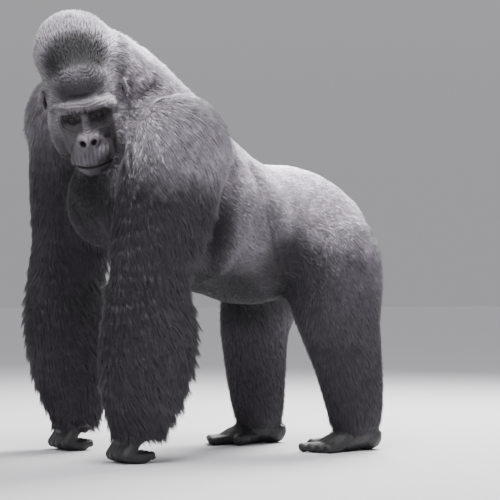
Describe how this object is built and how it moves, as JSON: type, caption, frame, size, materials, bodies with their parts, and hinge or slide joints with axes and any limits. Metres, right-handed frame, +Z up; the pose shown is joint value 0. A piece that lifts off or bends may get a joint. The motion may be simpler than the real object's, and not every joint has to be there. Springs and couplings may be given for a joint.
{
  "type": "silverback gorilla, still life-size model",
  "caption": "Adult male gorilla standing on knuckles and soles with its head turned to its left; a still life-size model.",
  "frame": {"origin": "on the floor under the middle of the box round the animal", "axes": "+Z up, the body looks along -Y with its left side towards +X"},
  "size_m": [0.8382, 1.225, 1.3689],
  "materials": {
    "silver_coat": "matte",
    "dark_coat": "matte",
    "bare_skin": "satin",
    "eye": "gloss"
  },
  "bodies": {
    "root": {"neck": "silver_coat", "chest": "silver_coat", "belly": "silver_coat", "rump": "silver_coat", "thigh_left": "silver_coat", "thigh_right": "silver_coat", "head": "dark_coat", "upper_arm_left": "dark_coat", "upper_arm_right": "dark_coat", "forearm_left": "dark_coat", "forearm_right": "dark_coat", "shin_left": "dark_coat", "shin_right": "dark_coat", "hand_left": "bare_skin", "hand_right": "bare_skin", "foot_left": "bare_skin", "foot_right": "bare_skin", "ear_left": "bare_skin", "ear_right": "bare_skin", "eye_left": "eye", "eye_right": "eye"}
  },
  "joints": []
}
